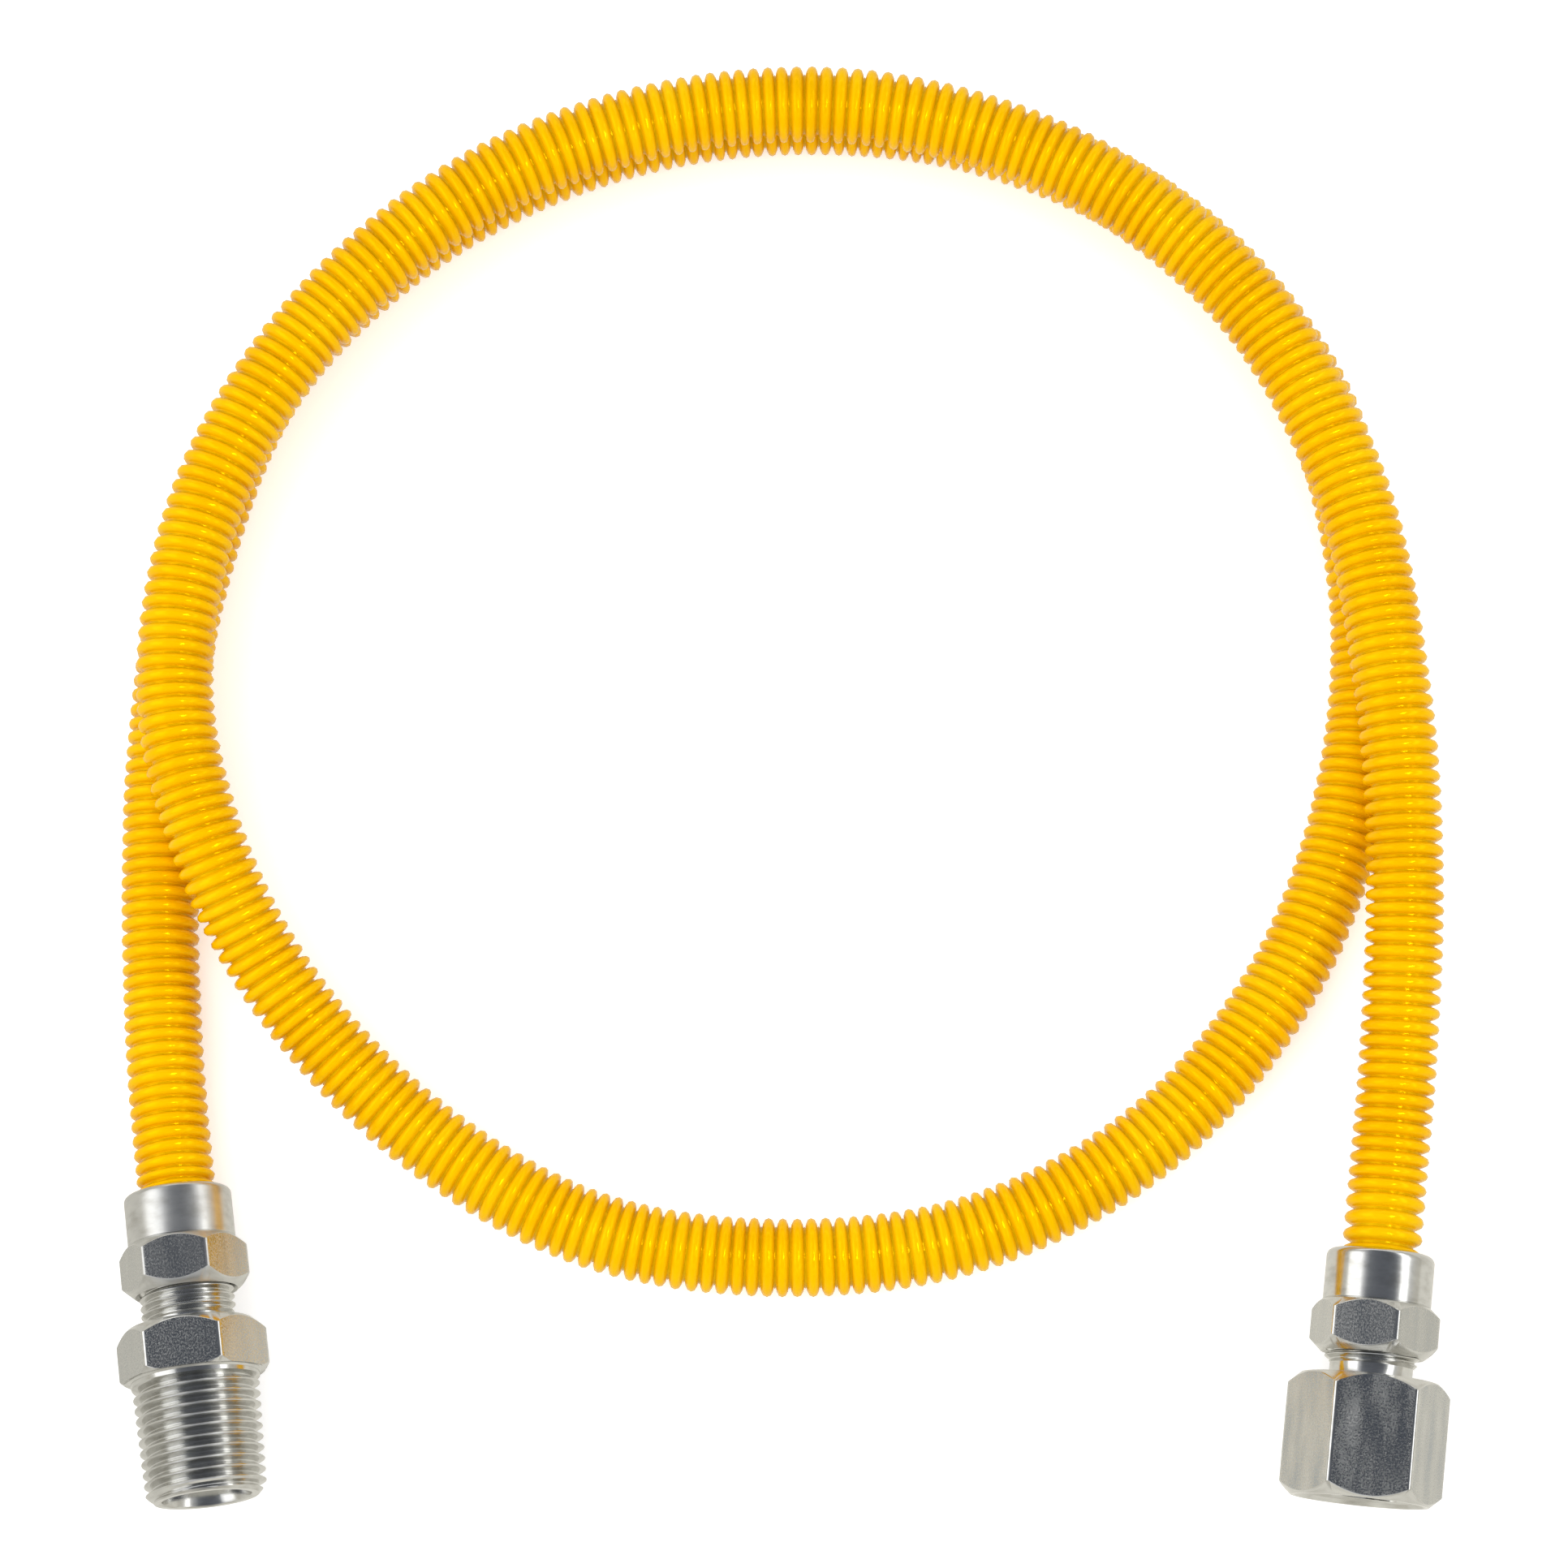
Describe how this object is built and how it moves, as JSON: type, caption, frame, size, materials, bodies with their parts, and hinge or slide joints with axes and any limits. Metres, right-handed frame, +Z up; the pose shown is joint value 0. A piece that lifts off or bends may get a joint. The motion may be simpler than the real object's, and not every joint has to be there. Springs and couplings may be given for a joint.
{
  "type": "flexible gas hose",
  "caption": "Yellow coated corrugated steel gas hose lying in loose turns, with flare nuts, a male pipe thread adapter on one end and a female one on the other",
  "frame": {"origin": "bottom centre of the bounding box, on the surface that the hose lies on", "axes": "+Z up; both fittings point towards -Y, the male one on the -X side and the female one on the +X side"},
  "size_m": [0.2252, 0.2524, 0.0268],
  "materials": {
    "yellow_coating": "glossy yellow plastic coating",
    "steel_tube": "bare stainless steel",
    "male_end_nut": "bright plated, turned",
    "female_end_nut": "bright plated, turned",
    "male_adapter": "bright plated, turned",
    "female_adapter": "bright plated, turned"
  },
  "bodies": {
    "hose": {"yellow_coating": "yellow_coating", "steel_tube": "steel_tube"},
    "male_nut": {"male_end_nut": "male_end_nut"},
    "female_nut": {"female_end_nut": "female_end_nut"},
    "male_fitting": {"male_adapter": "male_adapter"},
    "female_fitting": {"female_adapter": "female_adapter"}
  },
  "joints": [
    {"name": "male_nut_turn", "type": "hinge", "parent": "hose", "child": "male_nut", "pos_m": [-0.1013, -0.0734, 0.00935], "axis": [-0.1318, 0.9877, -0.0837], "range_deg": [0, 1440]},
    {"name": "male_adapter_travel", "type": "slide", "parent": "hose", "child": "male_fitting", "axis": [0.1318, -0.9877, 0.0837], "range_m": [0, 0.0056]},
    {"name": "female_nut_turn", "type": "hinge", "parent": "hose", "child": "female_nut", "pos_m": [0.1014, -0.0839, 0.0126], "axis": [0.1115, 0.9936, 0.0175], "range_deg": [0, 1440]},
    {"name": "female_adapter_travel", "type": "slide", "parent": "hose", "child": "female_fitting", "axis": [-0.1115, -0.9936, -0.0175], "range_m": [0, 0.0056]}
  ],
  "couplings": [
    {"joint": "male_nut_turn", "follows": "male_adapter_travel", "rad_per_m": 4453},
    {"joint": "female_nut_turn", "follows": "female_adapter_travel", "rad_per_m": 4453}
  ]
}
